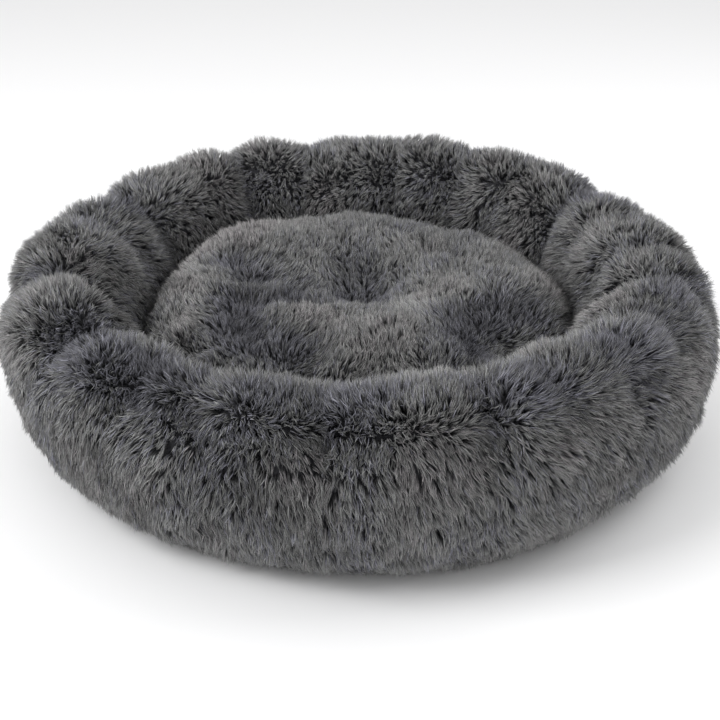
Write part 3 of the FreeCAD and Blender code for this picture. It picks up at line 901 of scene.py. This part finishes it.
def woven_material(name, dark, pale, pitch, roughness=0.85):
    """Plain weave: threads both ways, with the shade of single threads varying."""
    material, tree, shader = new_material(name, roughness)
    link = tree.links.new
    place = tree.nodes.new("ShaderNodeTexCoord")
    bands = []
    for direction in ("X", "Y"):
        wave = tree.nodes.new("ShaderNodeTexWave")
        wave.bands_direction = direction
        wave.inputs["Scale"].default_value = math.pi / 10 / pitch
        wave.inputs["Distortion"].default_value = 1.2
        wave.inputs["Detail"].default_value = 1.0
        link(place.outputs["Object"], wave.inputs["Vector"])
        bands.append(wave.outputs["Fac"])
    weave = tree.nodes.new("ShaderNodeMath")
    weave.operation = "MULTIPLY"
    link(bands[0], weave.inputs[0])
    link(bands[1], weave.inputs[1])
    cloud = tree.nodes.new("ShaderNodeTexNoise")
    cloud.inputs["Scale"].default_value = 45
    cloud.inputs["Detail"].default_value = 5
    link(place.outputs["Object"], cloud.inputs["Vector"])
    both = tree.nodes.new("ShaderNodeMath")
    both.operation = "MULTIPLY_ADD"
    both.inputs[1].default_value = 0.6
    link(weave.outputs[0], both.inputs[0])
    link(cloud.outputs["Fac"], both.inputs[2])
    tone = ramp(tree, [(0.35, dark), (1.0, pale)])
    link(both.outputs[0], tone.inputs["Fac"])
    link(tone.outputs["Color"], shader.inputs["Base Color"])
    bump = tree.nodes.new("ShaderNodeBump")
    bump.inputs["Distance"].default_value = 0.0004
    bump.inputs["Strength"].default_value = 0.6
    link(weave.outputs[0], bump.inputs["Height"])
    link(bump.outputs["Normal"], shader.inputs["Normal"])
    return material


def grained_material(name, dark, pale, scale, roughness, depth=0.0001, metallic=0.0):
    """Moulded or cast: a fine grain in colour and surface."""
    material, tree, shader = new_material(name, roughness)
    link = tree.links.new
    place = tree.nodes.new("ShaderNodeTexCoord")
    grain = tree.nodes.new("ShaderNodeTexNoise")
    grain.inputs["Scale"].default_value = scale
    grain.inputs["Detail"].default_value = 4
    link(place.outputs["Object"], grain.inputs["Vector"])
    tone = ramp(tree, [(0.35, dark), (0.65, pale)])
    link(grain.outputs["Fac"], tone.inputs["Fac"])
    link(tone.outputs["Color"], shader.inputs["Base Color"])
    bump = tree.nodes.new("ShaderNodeBump")
    bump.inputs["Distance"].default_value = depth
    link(grain.outputs["Fac"], bump.inputs["Height"])
    link(bump.outputs["Normal"], shader.inputs["Normal"])
    shader.inputs["Metallic"].default_value = metallic
    return material


def fibre_material():
    """Loose polyester fibre: white, crimped."""
    return grained_material("polyester_fibre", (0.55, 0.55, 0.56), (0.85, 0.85, 0.84), 160, 0.9, 0.002)


def finish_nodes():
    """Materials for the CAD nodes that stay."""
    tape = woven_material("zip_tape_twill", (0.015, 0.015, 0.018), (0.05, 0.05, 0.056), 0.0008)
    tooth = grained_material("zip_nylon", (0.020, 0.020, 0.022), (0.035, 0.035, 0.038), 900, 0.38)
    metal = grained_material("zip_metal", (0.30, 0.30, 0.31), (0.44, 0.44, 0.45), 500, 0.30, 0.00003, 1.0)
    plastic = grained_material("button_plastic", (0.030, 0.030, 0.033), (0.050, 0.050, 0.054), 700, 0.42)
    thread = grained_material("tuft_thread", (0.05, 0.05, 0.055), (0.10, 0.10, 0.11), 2500, 0.7, 0.0003)
    rubber = grained_material("grip_rubber", (0.012, 0.012, 0.013), (0.030, 0.030, 0.032), 800, 0.75)
    binding = woven_material("binding_tape", (0.020, 0.020, 0.024), (0.06, 0.06, 0.066), 0.0012)
    label = woven_material("label_satin", (0.72, 0.72, 0.70), (0.88, 0.88, 0.86), 0.0005, 0.45)
    finishes = {
        "zip_tape_upper": tape, "zip_tape_lower": tape,
        "zip_teeth_upper": tooth, "zip_teeth_lower": tooth,
        "zip_stop_closed": tooth, "zip_stop_open": tooth, "zip_slider": metal, "zip_pull": metal,
        "tuft_button": plastic, "tuft_disc": plastic, "tuft_thread": thread, "grip_dots": rubber,
        "base_binding": binding, "care_label": label,
    }
    for name, material in finishes.items():
        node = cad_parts[name]
        node.data.materials.clear()
        node.data.materials.append(material)


# ---- stage, camera, light -----------------------------------------------------------------------

def make_stage():
    floor = new_object("floor", FLOOR_CORNERS, [(0, 1, 2, 3)])
    material, _, shader = new_material("floor_white", 0.9)
    shader.inputs["Base Color"].default_value = (0.93, 0.93, 0.935, 1)
    floor.data.materials.append(material)
    world = bpy.data.worlds.new("studio")
    bpy.context.scene.world = world
    world.use_nodes = True
    background = world.node_tree.nodes["Background"]
    background.inputs["Color"].default_value = (1.0, 1.0, 1.0, 1)
    background.inputs["Strength"].default_value = WORLD_STRENGTH
    bpy.context.scene.view_settings.view_transform = "Standard"


def make_lights():
    for name, place, power in LIGHTS:
        data = bpy.data.lights.new(name, "AREA")
        data.shape = "RECTANGLE"
        data.size = LIGHT_SIZE
        data.size_y = LIGHT_SIZE
        data.energy = power
        lamp = bpy.data.objects.new(name, data)
        lamp.location = place
        lamp.rotation_euler = (Vector(LIGHT_TARGET) - Vector(place)).to_track_quat("-Z", "Y").to_euler()
        bpy.context.scene.collection.objects.link(lamp)


def make_camera():
    elevation = math.radians(CAMERA_ELEVATION)
    back, up = CAMERA_DISTANCE * math.cos(elevation), CAMERA_DISTANCE * math.sin(elevation)
    middle = HEIGHT * CAMERA_MIDDLE
    data = bpy.data.cameras.new("camera")
    data.sensor_width = 36
    data.lens = CAMERA_LENS
    camera = bpy.data.objects.new("camera", data)
    camera.location = (0, -back, middle + up)
    aim = Vector((0, 0, middle - CAMERA_AIM_DROP))
    camera.rotation_euler = (aim - camera.location).to_track_quat("-Z", "Y").to_euler()
    bpy.context.scene.collection.objects.link(camera)
    bpy.context.scene.camera = camera


# ---- build ----------------------------------------------------------------------------------------

def stand_for(piece, material, body, slot, *nodes):
    """Give a piece its material and the body it moves with, and hide the nodes that it stands for; the slot
    is not used.
    """
    piece.data.materials.clear()
    piece.data.materials.append(material)
    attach(piece, body)
    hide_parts(*nodes)


def ring_has_pile(places, normals):
    """Share of full pile on the ring: none underneath, less behind the cushion, more at the seam."""
    radius = radius_of(places)
    hidden = (places[:, 2] < RING_HIDDEN_HEIGHT) & (radius < RING_HIDDEN_RADIUS)
    above_seam = (places[:, 2] - GATHER_SHARE * HEIGHT - seam_wave(azimuth_of(places))) / SEAM_ZONE
    parted = 1 + SEAM_EXTRA * np.exp(-above_seam ** 2) * (radius > SEAM_EXTRA_RADIUS)
    return np.where(normals[:, 2] < RING_UNDERSIDE, 0.0, np.where(hidden, HIDDEN_SHARE, parted))


def pad_has_pile(places, normals):
    """Share of full pile on the cushion: none on its floor or on the zip's tapes, less low down."""
    azimuth = np.degrees(np.arctan2(places[:, 1], places[:, 0]))
    along_zip = (azimuth > ZIP_START - ZIP_MARGIN) & (azimuth < ZIP_END + ZIP_MARGIN)
    bare = (normals[:, 2] < PAD_UNDERSIDE) | (along_zip & (places[:, 2] < ZIP_TOP))
    return np.where(bare, 0.0, np.where(places[:, 2] < PAD_HIDDEN_HEIGHT, HIDDEN_SHARE, 1.0))


def main():
    make_camera()
    make_stage()
    make_lights()
    finish_nodes()
    rng = np.random.default_rng(SEED)
    coarse = 1
    backing = backing_material()
    pile = pile_material()
    fibre = fibre_material()
    cotton = woven_material("under_cotton", (0.045, 0.045, 0.050), (0.11, 0.11, 0.118), 0.0011)
    canvas = woven_material("base_canvas", (0.020, 0.020, 0.024), (0.055, 0.055, 0.062), 0.0014)
    lining = woven_material("well_lining", (0.050, 0.050, 0.056), (0.12, 0.12, 0.13), 0.0012)
    elastic = woven_material("gather_elastic", (0.02, 0.02, 0.022), (0.07, 0.07, 0.075), 0.0008)

    ring = make_ring_backing()
    pad = make_pad_backing()
    plump(ring, RING_VOXEL, ring_is_held)
    plump(pad, PAD_VOXEL, pad_is_held)
    stand_for(ring, backing, "ring", "shag", "outer_wall_panel", "rim_panel")
    stand_for(make_filling("ring_fibre", ring), fibre, "ring", "fibre", "ring_fill")
    stand_for(make_gather_cord(), elastic, "ring", "elastic", "gather_cord")
    stand_for(pad, backing, "cushion", "shag", "cushion_top_cover")
    stand_for(make_filling("cushion_fibre", pad), fibre, "cushion", "fibre", "cushion_fill")
    stand_for(make_under_cover(), cotton, "cushion", "under_cloth", "cushion_under_cover")
    stand_for(make_cloth_disc("base_canvas", "base_cloth", 81), canvas, "ring", "base_cloth", "base_cloth")
    stand_for(make_cloth_disc("well_floor", "well_lining", 82), lining, "ring", "lining", "well_lining")

    make_pile("ring_pile", ring, ring_comb, RING_TONE, LOCK_AREA * coarse, "ring", pile, rng, ring_has_pile)
    make_pile("cushion_pile", pad, pad_comb, PAD_TONE, LOCK_AREA * PAD_LOCK_SHARE * coarse, "cushion",
              pile, rng, pad_has_pile)


main()
